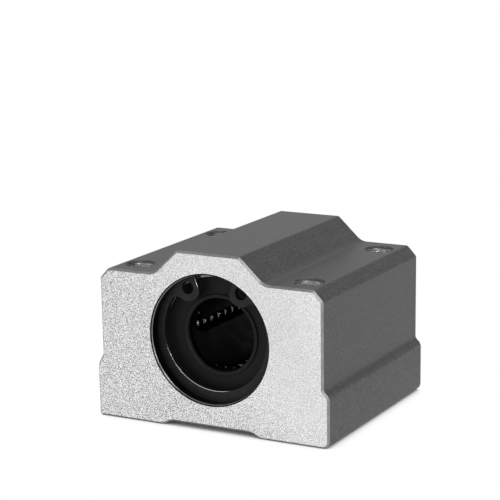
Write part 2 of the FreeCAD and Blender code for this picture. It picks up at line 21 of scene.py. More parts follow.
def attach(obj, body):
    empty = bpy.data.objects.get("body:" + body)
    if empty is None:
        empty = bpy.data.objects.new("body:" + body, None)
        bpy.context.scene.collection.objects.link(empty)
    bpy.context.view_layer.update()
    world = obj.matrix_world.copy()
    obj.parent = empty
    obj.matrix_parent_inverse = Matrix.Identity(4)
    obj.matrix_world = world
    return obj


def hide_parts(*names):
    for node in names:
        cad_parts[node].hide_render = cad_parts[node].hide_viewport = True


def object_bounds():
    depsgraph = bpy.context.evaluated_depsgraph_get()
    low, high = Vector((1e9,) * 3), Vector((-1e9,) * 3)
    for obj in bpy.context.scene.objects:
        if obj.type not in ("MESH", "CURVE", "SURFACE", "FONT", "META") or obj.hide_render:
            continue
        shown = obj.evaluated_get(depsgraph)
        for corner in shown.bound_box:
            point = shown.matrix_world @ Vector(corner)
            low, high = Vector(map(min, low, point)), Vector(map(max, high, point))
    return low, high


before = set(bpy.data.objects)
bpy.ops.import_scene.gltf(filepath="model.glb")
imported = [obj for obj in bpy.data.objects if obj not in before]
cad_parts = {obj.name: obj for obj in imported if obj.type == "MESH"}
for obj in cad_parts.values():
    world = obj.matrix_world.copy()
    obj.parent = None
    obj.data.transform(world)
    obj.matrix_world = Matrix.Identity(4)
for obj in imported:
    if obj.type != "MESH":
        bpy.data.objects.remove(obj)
CAD_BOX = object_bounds()

log = logging.getLogger("bearing_block")

MM = 0.001
SAME_PLACE = 1e-6  # metres: corners closer than this are one corner
SAME_CUT = SAME_PLACE / 10  # the same for meshes that a cut or a fill has made
FLAT_FACE_WEIGHT = 90  # how far large faces rule the shading beside them, of 100
AXIS_HEIGHT = 15.0  # millimetres from the base up to the shaft axis
ROUND_SHAFT = (1.0, 0.0, 1.0)  # the directions that count in a distance from the shaft axis
ENDS = ("front", "rear")
BODY = "root"

Pair = tuple[float, float]
Triple = tuple[float, float, float]
Colour = tuple[float, float, float, float]


def grey(level: float, warmth: float = 0.0) -> Colour:
    """A neutral colour of a linear level, red raised and blue lowered by the warmth."""
    return (level * (1 + warmth), level, level * (1 - warmth), 1.0)


# Shader expressions


class Wire:
    """A node's output. Arithmetic on it adds Math nodes to its tree."""

    def __init__(self, graph: "Graph", socket: bpy.types.NodeSocket) -> None:
        """Wraps a socket of the graph's tree."""
        self.graph = graph
        self.socket = socket

    def math(self, operation: str, first: "Value", second: "Value") -> "Wire":
        """A Math node of the operation on two values."""
        return self.graph.node("ShaderNodeMath", {"operation": operation}, {0: first, 1: second})

    def __add__(self, other: "Value") -> "Wire":
        """Sum."""
        return self.math("ADD", self, other)

    __radd__ = __add__

    def __sub__(self, other: "Value") -> "Wire":
        """Difference."""
        return self.math("SUBTRACT", self, other)

    def __rsub__(self, other: "Value") -> "Wire":
        """Difference, from a number."""
        return self.math("SUBTRACT", other, self)

    def __mul__(self, other: "Value") -> "Wire":
        """Product."""
        return self.math("MULTIPLY", self, other)

    __rmul__ = __mul__


Value = Union[Wire, float, tuple[float, ...]]
Sockets = dict[Union[str, int], Value]


@dataclass(frozen=True)
class Grain:
    """A soft noise, by its scale per millimetre, its finer layers and the weight of each."""

    per_mm: float
    layers: float = 2.0
    weight: float = 0.5


class Graph:
    """Node tree of a material or of the world, emptied and ready to be filled."""

    def __init__(self, tree: bpy.types.NodeTree) -> None:
        """Takes over the tree and clears it."""
        self.tree = tree
        tree.nodes.clear()

    def node(
        self,
        kind: str,
        settings: Optional[dict[str, Any]] = None,
        inputs: Optional[Sockets] = None,
        output: Union[str, int] = 0,
    ) -> Optional[Wire]:
        """Adds a node.

        Args:
            kind: The node's type.
            settings: Properties of the node, which are set first.
            inputs: Values or wires by the name or the number of their socket.
            output: The output that is wanted.

        Returns:
            The wanted output, or None for a node that has none.
        """
        made = self.tree.nodes.new(kind)
        for key, value in (settings or {}).items():
            setattr(made, key, value)
        for key, value in (inputs or {}).items():
            if isinstance(value, Wire):
                self.tree.links.new(value.socket, made.inputs[key])
            else:
                made.inputs[key].default_value = value
        return Wire(self, made.outputs[output]) if len(made.outputs) else None

    def vector_math(
        self, operation: str, inputs: Sockets, output: Union[str, int] = "Vector"
    ) -> Wire:
        """A Vector Math node."""
        return self.node("ShaderNodeVectorMath", {"operation": operation}, inputs, output)

    def millimetres(self) -> Wire:
        """The object's own coordinates in millimetres, which are the block's coordinates."""
        place = self.node("ShaderNodeTexCoord", output="Object")
        return self.vector_math("SCALE", {0: place, "Scale": 1 / MM})

    def stretch(self, vector: Wire, factors: Triple) -> Wire:
        """The vector with each of its parts multiplied."""
        return self.vector_math("MULTIPLY", {0: vector, 1: factors})

    def away_from(self, vector: Wire, centre: Triple, keep: Triple) -> Wire:
        """Distance from a centre, counting only the kept directions."""
        offset = self.vector_math("SUBTRACT", {0: vector, 1: centre})
        return self.vector_math("LENGTH", {0: self.stretch(offset, keep)}, "Value")

    def from_axis(self, vector: Wire) -> Wire:
        """Distance from the shaft axis."""
        return self.away_from(vector, (0.0, 0.0, AXIS_HEIGHT), ROUND_SHAFT)

    def join(self, x: Value, y: Value, z: Value = 0.0) -> Wire:
        """Vector from three values."""
        return self.node("ShaderNodeCombineXYZ", None, {"X": x, "Y": y, "Z": z})

    def part(self, vector: Wire, axis: str) -> Wire:
        """One part of a vector: X, Y or Z."""
        return self.node("ShaderNodeSeparateXYZ", None, {"Vector": vector}, axis)

    def noise(self, vector: Wire, grain: Grain) -> Wire:
        """Soft noise between 0 and 1, about one half in the middle.

        Args:
            vector: Coordinates in millimetres.
            grain: Scale and make-up of the noise.

        Returns:
            The noise's value.
        """
        inputs = {
            "Vector": vector,
            "Scale": grain.per_mm,
            "Detail": grain.layers,
            "Roughness": grain.weight,
        }
        return self.node("ShaderNodeTexNoise", {"noise_dimensions": "3D"}, inputs, "Fac")

    @staticmethod
    def swayed(start: Value, *sways: tuple[Wire, float]) -> Value:
        """Adds noises to a value.

        Args:
            start: The value.
            sways: Each noise with how far it swings the value, from its lowest to its highest.

        Returns:
            The value, which stays the same where every noise is in its middle.
        """
        for noise, reach in sways:
            start = start + reach * (noise - 0.5)
        return start

    def cells(self, vector: Wire, per_mm: float) -> Wire:
        """Distance to the nearest of scattered points, in cell sizes."""
        inputs = {"Vector": vector, "Scale": per_mm}
        return self.node("ShaderNodeTexVoronoi", {"feature": "F1"}, inputs, "Distance")

    def ramp(
        self, value: Wire, low: float, high: float, start: Value = 0.0, end: Value = 1.0
    ) -> Wire:
        """Maps a value smoothly from one range to another.

        Args:
            value: The value.
            low: Where the first range starts; it may lie above its end.
            high: Where the first range ends.
            start: What low becomes.
            end: What high becomes.

        Returns:
            The mapped value, held at start and end beyond the first range.
        """
        smooth = {"interpolation_type": "SMOOTHSTEP"}
        inputs = {"Value": value, "From Min": low, "From Max": high, "To Min": start, "To Max": end}
        return self.node("ShaderNodeMapRange", smooth, inputs, "Result")

    def blend(self, factor: Value, first: Value, second: Value) -> Wire:
        """Colour between two colours."""
        settings = {"data_type": "RGBA", "clamp_factor": True}
        return self.node("ShaderNodeMix", settings, {0: factor, 6: first, 7: second}, 2)

    def shades(self, factor: Value, tone: float, spread: Pair) -> Wire:
        """Grey between the two ends of a spread, which multiply the tone."""
        low, high = spread
        return self.blend(factor, grey(low * tone), grey(high * tone))

    def rounded_normal(self, radius: float) -> Wire:
        """Surface normal with its sharp edges rounded off by a radius."""
        return self.node("ShaderNodeBevel", {"samples": 6}, {"Radius": radius * MM})

    def edges(self, rounded: Wire, low: float = 0.01, high: float = 0.12) -> Wire:
        """Finds the sharp edges of a piece.

        Args:
            rounded: Normal that is rounded off at the edges.
            low: How far that normal leans from the plain one, as 1 less the cosine, where an
                edge begins to show.
            high: The same where it shows in full.

        Returns:
            1 on sharp edges and 0 away from them.
        """
        plain = self.node("ShaderNodeNewGeometry", output="Normal")
        alike = self.vector_math("DOT_PRODUCT", {0: rounded, 1: plain}, "Value")
        return self.ramp(1 - alike, low, high)

    def bump(self, height: Wire, depth: float, normal: Optional[Wire] = None) -> Wire:
        """Normal of a surface that isn't quite flat.

        Args:
            height: Height of the surface, between 0 and 1.
            depth: How much higher the surface lies at 1 than at 0.
            normal: Normal that the unevenness is added to, where it isn't the plain one.

        Returns:
            The uneven normal.
        """
        inputs: Sockets = {"Height": height, "Distance": depth * MM, "Strength": 1.0}
        if normal is not None:
            inputs["Normal"] = normal
        return self.node("ShaderNodeBump", None, inputs)


# Finishes


@dataclass(frozen=True)
class Finish:
    """A finish that makes its own material. Tones are linear and noises are Grains."""

    name: str

    def build(self) -> bpy.types.Material:
        """Makes the finish.

        Returns:
            A new material.
        """
        material = bpy.data.materials.new(self.name)
        material.use_nodes = True
        graph = Graph(material.node_tree)
        surface = graph.node("ShaderNodeBsdfPrincipled", None, self.sockets(graph))
        graph.node("ShaderNodeOutputMaterial", None, {"Surface": surface})
        return material

    def sockets(self, graph: Graph) -> Sockets:
        """Values and wires of the surface shader's sockets."""
        raise NotImplementedError


@dataclass(frozen=True)
class BlastedFace(Finish):
    """Bare aluminium, sawn to length and blasted: a bright, evenly speckled face."""

    dark: float = 0.22
    light: float = 0.96
    middle: float = 0.72
    grain_per_mm: float = 8.6
    fine_ratio: float = 1.6
    coarse_share: float = 0.6
    speckle_range: Pair = (0.37, 0.61)
    clouds: Grain = Grain(0.09)
    cloud_sway: float = 0.22
    pit_ratio: float = 0.8
    pit_range: Pair = (0.05, 0.22)
    pit_share: float = 0.3
    pit_depth: float = 0.03
    roughness: float = 0.5
    roughness_sway: float = 0.12
    lean: float = 0.8
    lean_range: Pair = (-5.0, 24.0)
    rough_side: float = 1.9
    smooth_side: float = 0.5
    rough_loss: float = 0.05
    edge_radius: float = 0.06
    worn_radius: float = 0.35
    worn_range: Pair = (0.02, 0.2)
    worn_share: float = 0.1

    def sockets(self, graph: Graph) -> Sockets:
        """Speckle of two grain sizes with a few darker pits, weaker towards one upper corner.

        Args:
            graph: Tree of the finish.

        Returns:
            The surface shader's sockets.
        """
        place = graph.millimetres()
        coarse = graph.noise(place, Grain(self.grain_per_mm, 0.0))
        fine = graph.noise(place, Grain(self.fine_ratio * self.grain_per_mm, 0.0))
        mixed = self.coarse_share * coarse + (1 - self.coarse_share) * fine
        speckle = graph.ramp(mixed, *self.speckle_range) - 0.5
        leaning = graph.part(place, "X") + self.lean * graph.part(place, "Z")
        contrast = graph.ramp(leaning, *self.lean_range, self.rough_side, self.smooth_side)
        pits = graph.ramp(graph.cells(place, self.pit_ratio * self.grain_per_mm), *self.pit_range)
        worn = graph.edges(graph.rounded_normal(self.worn_radius), *self.worn_range)
        tone = self.middle - self.rough_loss * contrast
        tone = tone + contrast * (speckle - self.pit_share * (1 - pits))
        tone = graph.swayed(tone, (graph.noise(place, self.clouds), self.cloud_sway))
        tone = tone + self.worn_share * worn
        rounded = graph.rounded_normal(self.edge_radius)
        return {
            "Base Color": graph.blend(tone, grey(self.dark), grey(self.light)),
            "Metallic": 1.0,
            "Roughness": self.roughness - self.roughness_sway * speckle,
            "Normal": graph.bump(speckle * pits, self.pit_depth, rounded),
        }


@dataclass(frozen=True)
class AnodisedSkin(Finish):
    """Extruded aluminium under a grey anodised layer, with faint die lines along the shaft."""

    tone: float = 0.084
    spread: Pair = (0.6, 1.4)
    mottle: Grain = Grain(0.35, 4.0, 0.62)
    satin: Grain = Grain(2.6, 1.0, 0.6)
    die_lines: Grain = Grain(3.2, 3.0, 0.7)
    tone_sways: Triple = (0.6, 2.0, 0.4)
    along_die: Triple = (1.0, 0.012, 1.0)
    roughness: float = 0.44
    roughness_sways: Pair = (0.14, 0.1)
    worn_tone: float = 0.19
    worn_share: float = 0.7
    worn_patches: Grain = Grain(1.1, 3.0)
    worn_range: Pair = (0.35, 0.75)
    least_worn: float = 0.35
    edge_radius: float = 0.16
    depth: float = 0.006
    line_depth_share: float = 0.55

    def sockets(self, graph: Graph) -> Sockets:
        """Mottled grey, die lines, fine satin grain and lighter edges.

        Args:
            graph: Tree of the finish.

        Returns:
            The surface shader's sockets.
        """
        place = graph.millimetres()
        mottle = graph.noise(place, self.mottle)
        satin = graph.noise(place, self.satin)
        lines = graph.noise(graph.stretch(place, self.along_die), self.die_lines)
        rounded = graph.rounded_normal(self.edge_radius)
        patches = graph.noise(place, self.worn_patches)
        edge = graph.edges(rounded) * graph.ramp(patches, *self.worn_range, self.least_worn)
        level = graph.swayed(0.5, *zip((mottle, satin, lines), self.tone_sways))
        shade = graph.shades(level, self.tone, self.spread)
        height = self.line_depth_share * lines + (1 - self.line_depth_share) * satin
        return {
            "Base Color": graph.blend(self.worn_share * edge, shade, grey(self.worn_tone)),
            "Metallic": 0.85,
            "Roughness": graph.swayed(self.roughness, *zip((satin, mottle), self.roughness_sways)),
            "Specular IOR Level": 0.3,
            "Normal": graph.bump(height, self.depth, rounded),
        }


class Marks(Enum):
    """Directions in which cutting tools leave their marks."""

    TURNED = "rings round the shaft axis"
    DRILLED = "rings round an upright hole"
    MILLED = "wide arcs on a flat base"
    CHAMFERED = "short strokes across an edge"


@dataclass(frozen=True)
class CutMetal(Finish):
    """Metal with the marks of the tool that cut or ground it."""

    marks: Marks
    tone: float
    roughness: float
    marks_per_mm: float = 6.0
    mark_depth: float = 0.004
    edge_tone: float = 0.8
    variation: float = 0.2
    edge_share: float = 0.6
    edge_radius: float = 0.08
    mark_share: float = 0.55
    clouds: Grain = Grain(0.5, 3.0, 0.6)
    roughness_sways: Pair = (0.18, 0.08)
    along_hole: Triple = (0.03, 0.03, 1.0)
    along_stroke: Triple = (0.8, 1.0, 0.8)
    mill_centre: Triple = (-52.0, 6.0, 0.0)

    def mark_vector(self, graph: Graph, place: Wire) -> Wire:
        """Coordinates that stay the same along each mark.

        Args:
            graph: Tree of the finish.
            place: Coordinates on the block.

        Returns:
            The changed coordinates.
        """
        if self.marks is Marks.TURNED:
            return graph.join(graph.from_axis(place), graph.part(place, "Y"))
        if self.marks is Marks.DRILLED:
            return graph.stretch(place, self.along_hole)
        if self.marks is Marks.MILLED:
            return graph.join(graph.away_from(place, self.mill_centre, (1.0, 1.0, 0.0)), 0.0)
        return graph.stretch(place, self.along_stroke)

    def sockets(self, graph: Graph) -> Sockets:
        """Tool marks in tone, roughness and height, and brighter edges.

        Args:
            graph: Tree of the finish.

        Returns:
            The surface shader's sockets.
        """
        place = graph.millimetres()
        marks = graph.noise(self.mark_vector(graph, place), Grain(self.marks_per_mm, 3.0, 0.65))
        clouds = graph.noise(place, self.clouds)
        rounded = graph.rounded_normal(self.edge_radius)
        edge = graph.edges(rounded)
        level = self.mark_share * marks + (1 - self.mark_share) * clouds
        shade = graph.shades(level, self.tone, (1 - self.variation, 1 + self.variation))
        return {
            "Base Color": graph.blend(self.edge_share * edge, shade, grey(self.edge_tone)),
            "Metallic": 1.0,
            "Roughness": graph.swayed(self.roughness, *zip((marks, clouds), self.roughness_sways)),
            "Normal": graph.bump(marks, self.mark_depth, rounded),
        }


@dataclass(frozen=True)
class BoreMouth(Finish):
    """Turned bevel at a mouth of the bore, dull beside the end face, with a painted highlight at
    its corner.
    """

    bore_radius: float
    dull: float = 0.015
    bright: float = 0.24
    corner_range: Pair = (0.15, 0.04)
    roughness: float = 0.3
    roughness_sway: float = 0.16
    marks: Grain = Grain(8.0, 2.0, 0.6)
    mark_depth: float = 0.004
    highlight_breakup: Grain = Grain(2.6, 2.0, 0.6)
    plain_share: float = 0.3
    highlight_breakup_share: float = 1.2

    def sockets(self, graph: Graph) -> Sockets:
        """Tone by the distance from the shaft axis, with a painted highlight at the corner broken
        up by noise, and turning marks.

        Args:
            graph: Tree of the finish.

        Returns:
            The surface shader's sockets.
        """
        place = graph.millimetres()
        out = graph.from_axis(place)
        marks = graph.noise(graph.join(out, graph.part(place, "Y")), self.marks)
        # painted highlight: a bright band at the bore's corner, in patches
        corner = graph.ramp(out, *(self.bore_radius + reach for reach in self.corner_range))
        bright = corner * (self.plain_share + self.highlight_breakup_share * graph.noise(place, self.highlight_breakup))
        return {
            "Base Color": graph.blend(bright, grey(self.dull), grey(self.bright)),
            "Metallic": 1.0,
            "Roughness": graph.swayed(self.roughness, (marks, self.roughness_sway)),
            "Normal": graph.bump(marks, self.mark_depth),
        }


@dataclass(frozen=True)
class BlackenedSpring(Finish):
    """Stamped spring steel, blackened and oiled."""

    tone: float = 0.011
    spread: Pair = (0.6, 1.5)
    blueness: float = 0.02
    clouds: Grain = Grain(0.7, 4.0, 0.6)
    grain: Grain = Grain(9.0, 2.0, 0.6)
    grain_depth: float = 0.006
    roughness: float = 0.45
    roughness_sways: Pair = (0.22, 0.12)
    oil_range: Pair = (0.45, 0.7)
    oil_weight: float = 0.08

    def sockets(self, graph: Graph) -> Sockets:
        """Uneven black with an oil film.

        Args:
            graph: Tree of the finish.

        Returns:
            The surface shader's sockets.
        """
        place = graph.millimetres()
        clouds = graph.noise(place, self.clouds)
        grain = graph.noise(place, self.grain)
        black, faded = (share * self.tone for share in self.spread)
        return {
            "Base Color": graph.blend(clouds, grey(black), grey(faded, -self.blueness)),
            "Metallic": 0.4,
            "Roughness": graph.swayed(self.roughness, *zip((clouds, grain), self.roughness_sways)),
            "Specular IOR Level": 0.3,
            "Coat Weight": graph.ramp(clouds, *self.oil_range, 0.0, self.oil_weight),
            "Coat Roughness": 0.15,
            "Normal": graph.bump(grain, self.grain_depth),
        }


@dataclass(frozen=True)
class RubbedEdgeAndHighlight(Finish):
    """The corners of the spring steel: near black, with bright metal at a few places that is partly
    wear through the black and partly a painted highlight where the edges catch the light.

    Each bright place is given by its place across, its height and how far it reaches.
    """

    black: float = 0.014
    bright: float = 0.6
    # bright places on the corners: partly wear, partly a painted highlight where the edges catch
    # the light
    rubbed_and_highlight_places: tuple[Triple, ...] = ((-6.2, 8.0, 6.0), (-1.5, 5.5, 4.5), (-2.3, 24.0, 1.5))
    full_reach: float = 0.6
    patches: Grain = Grain(0.6, 4.0, 0.7)
    patch_range: Pair = (0.3, 0.6)
    least_patch: float = 0.5
    scratches: Grain = Grain(8.0, 2.0, 0.6)
    scratch_share: float = 0.6
    plain_share: float = 0.7
    scratch_depth: float = 0.004
    roughness: float = 0.26
    roughness_sway: float = 0.2

    def sockets(self, graph: Graph) -> Sockets:
        """Bright metal round the listed places, partly wear and partly painted highlight, and near
        black elsewhere.

        Args:
            graph: Tree of the finish.

        Returns:
            The surface shader's sockets.
        """
        place = graph.millimetres()
        rubbed_and_highlight: Value = 0.0
        for across, up, reach in self.rubbed_and_highlight_places:
            away = graph.away_from(place, (across, 0.0, up), ROUND_SHAFT)
            rubbed_and_highlight = graph.ramp(away, self.full_reach * reach, reach, 1.0, 0.0) + rubbed_and_highlight
        patches = graph.ramp(graph.noise(place, self.patches), *self.patch_range, self.least_patch)
        scratches = graph.noise(place, self.scratches)
        # the bright metal here is partly wear and partly a painted highlight
        bare_and_highlight = rubbed_and_highlight * patches * (self.plain_share + self.scratch_share * scratches)
        return {
            "Base Color": graph.blend(bare_and_highlight, grey(self.black), grey(self.bright)),
            "Metallic": 1.0,
            "Roughness": graph.swayed(self.roughness, (scratches, self.roughness_sway)),
            "Normal": graph.bump(scratches, self.scratch_depth),
        }


@dataclass(frozen=True)
class SealRubber(Finish):
    """Moulded black rubber with a dull bloom and a wiped lip."""

    lip_radius: float
    lip_width: float = 0.25
    lip_polish: float = 0.16
    tone: float = 0.004
    spread: Pair = (0.6, 1.7)
    bloom: Grain = Grain(0.9, 4.0, 0.65)
    grain: Grain = Grain(11.0, 2.0, 0.55)
    grain_share: float = 0.6
    mould_rings: Grain = Grain(5.0)
    roughness: float = 0.52
    roughness_sway: float = 0.16
    edge_radius: float = 0.07
    depth: float = 0.01

    def sockets(self, graph: Graph) -> Sockets:
        """Dull mottled rubber, smoother on the lip.

        Args:
            graph: Tree of the finish.

        Returns:
            The surface shader's sockets.
        """
        place = graph.millimetres()
        bloom = graph.noise(place, self.bloom)
        grain = graph.noise(place, self.grain)
        out = graph.from_axis(place)
        lip = graph.ramp(out, self.lip_radius, self.lip_radius - self.lip_width)
        rings = graph.noise(graph.join(out, 0.0), self.mould_rings)
        roughness = graph.swayed(self.roughness, (bloom, self.roughness_sway))
        height = self.grain_share * grain + (1 - self.grain_share) * rings
        return {
            "Base Color": graph.shades(bloom, self.tone, self.spread),
            "Metallic": 0.0,
            "Roughness": roughness - self.lip_polish * lip,
            "Specular IOR Level": 0.16,
            "Normal": graph.bump(height, self.depth, graph.rounded_normal(self.edge_radius)),
        }


@dataclass(frozen=True)
class MouldedPlastic(Finish):
    """Black engineering plastic as it leaves the mould, wiped with grease in places."""

    tone: float = 0.0012
    spread: Pair = (0.6, 1.6)
    flow: Grain = Grain(0.8, 3.0, 0.6)
    along_flow: Triple = (1.0, 0.25, 1.0)
    flow_share: float = 0.5
    grain: Grain = Grain(8.0, 2.0, 0.6)
    grease: Grain = Grain(0.45)
    grease_range: Pair = (0.42, 0.66)
    grease_polish: float = 0.12
    roughness: float = 0.55
    roughness_sway: float = 0.14
    edge_radius: float = 0.08
    depth: float = 0.01

    def sockets(self, graph: Graph) -> Sockets:
        """Flow marks along the shaft, mould grain and smoother greasy places.

        Args:
            graph: Tree of the finish.

        Returns:
            The surface shader's sockets.
        """
        place = graph.millimetres()
        flow = graph.noise(graph.stretch(place, self.along_flow), self.flow)
        grain = graph.noise(place, self.grain)
        greasy = graph.ramp(graph.noise(place, self.grease), *self.grease_range)
        roughness = graph.swayed(self.roughness, (grain, self.roughness_sway))
        height = self.flow_share * flow + (1 - self.flow_share) * grain
        return {
            "Base Color": graph.shades(flow, self.tone, self.spread),
            "Metallic": 0.0,
            "Roughness": roughness - self.grease_polish * greasy,
            "Specular IOR Level": 0.03,
            "Normal": graph.bump(height, self.depth, graph.rounded_normal(self.edge_radius)),
        }


@dataclass(frozen=True)
class PolishedSteel(Finish):
    """Lapped chrome-steel balls with a trace of oil, their tone kept low as painted shade for the
    dark bore they sit in.
    """

    # tone far below clean steel: painted shade of the balls inside the bore
    tone: float = 0.055
    spread: Pair = (0.86, 1.1)
    oil: Grain = Grain(1.4, 3.0, 0.6)
    oil_range: Pair = (0.5, 0.75)
    oil_roughness: float = 0.07
    haze: Grain = Grain(14.0)
    haze_roughness: float = 0.02
    haze_depth: float = 0.0006
    roughness: float = 0.05

    def sockets(self, graph: Graph) -> Sockets:
        """Near-mirror steel, faintly clouded by oil, far darker than clean steel as painted shade.

        Args:
            graph: Tree of the finish.

        Returns:
            The surface shader's sockets.
        """
        place = graph.millimetres()
        oil = graph.noise(place, self.oil)
        haze = graph.noise(place, self.haze)
        roughness = self.roughness + self.oil_roughness * graph.ramp(oil, *self.oil_range)
        return {
            "Base Color": graph.shades(oil, self.tone, self.spread),
            "Metallic": 1.0,
            "Roughness": roughness + self.haze_roughness * haze,
            "Normal": graph.bump(haze, self.haze_depth),
        }


# Meshes


def link(made: bpy.types.Object) -> None:
    """Puts an object into the scene."""
    bpy.context.scene.collection.objects.link(made)


def cad_mesh(node: str) -> bmesh.types.BMesh:
    """A copy of a CAD node's mesh with its split corners joined again.

    Args:
        node: Name of the CAD node.

    Returns:
        A closed mesh in the block's own frame.
    """
    mesh = bmesh.new()
    mesh.from_mesh(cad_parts[node].data)
    bmesh.ops.remove_doubles(mesh, verts=mesh.verts, dist=SAME_PLACE)
    return mesh


def new_object(name: str, mesh: bmesh.types.BMesh) -> bpy.types.Object:
    """Makes an object of a mesh.

    Args:
        name: Name of the object and of its data.
        mesh: The mesh, which is freed.

    Returns:
        The object, in the scene.
    """
    data = bpy.data.meshes.new(name)
    mesh.to_mesh(data)
    mesh.free()
    made = bpy.data.objects.new(name, data)
    link(made)
    return made


def made_mesh(helper: bpy.types.Object) -> bmesh.types.BMesh:
    """The mesh that a helper's modifiers or its curve make.

    Args:
        helper: An object that only serves to make the mesh, and is removed.

    Returns:
        The mesh, with corners in the same place joined.
    """
    bpy.context.view_layer.update()
    graph = bpy.context.evaluated_depsgraph_get()
    data = bpy.data.meshes.new_from_object(helper.evaluated_get(graph))
    mesh = bmesh.new()
    mesh.from_mesh(data)
    bpy.data.objects.remove(helper)
    bpy.data.meshes.remove(data)
    bmesh.ops.remove_doubles(mesh, verts=mesh.verts, dist=SAME_CUT)
    return mesh


def shade_by_angle(mesh: bmesh.types.BMesh, sharp: float) -> None:
    """Makes faces smooth and keeps sharp edges crisp.

    Args:
        mesh: The mesh to shade.
        sharp: Angle between two faces from which their edge stays crisp.
    """
    for face in mesh.faces:
        face.smooth = True
    for edge in mesh.edges:
        edge.smooth = edge.calc_face_angle(math.pi) < math.radians(sharp)


def even_normals(piece: bpy.types.Object) -> None:
    """Lets large flat faces rule the shading of the rounded edges beside them.

    Args:
        piece: The piece to shade.
    """
    modifier = piece.modifiers.new("even_normals", "WEIGHTED_NORMAL")
    modifier.keep_sharp = True
    modifier.weight = FLAT_FACE_WEIGHT


def dress_node(node: str, material: bpy.types.Material) -> bpy.types.Object:
    """Gives a CAD node its material, with its mesh as it is.

    Args:
        node: Name of the CAD node.
        material: The finish.

    Returns:
        The node's object.
    """
    cad_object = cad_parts[node]
    if not cad_object.material_slots:
        cad_object.data.materials.append(material)
    for place in cad_object.material_slots:
        place.material = material
    return cad_object


# Housing


class Surface(Enum):
    """Surfaces of the housing by how they were made; the values number its material slots."""

    SKIN = 0
    END_FACE = 1
    END_BEVEL = 2
    BORE = 3
    SCREW_HOLE = 4
    BASE = 5
    BORE_MOUTH = 6


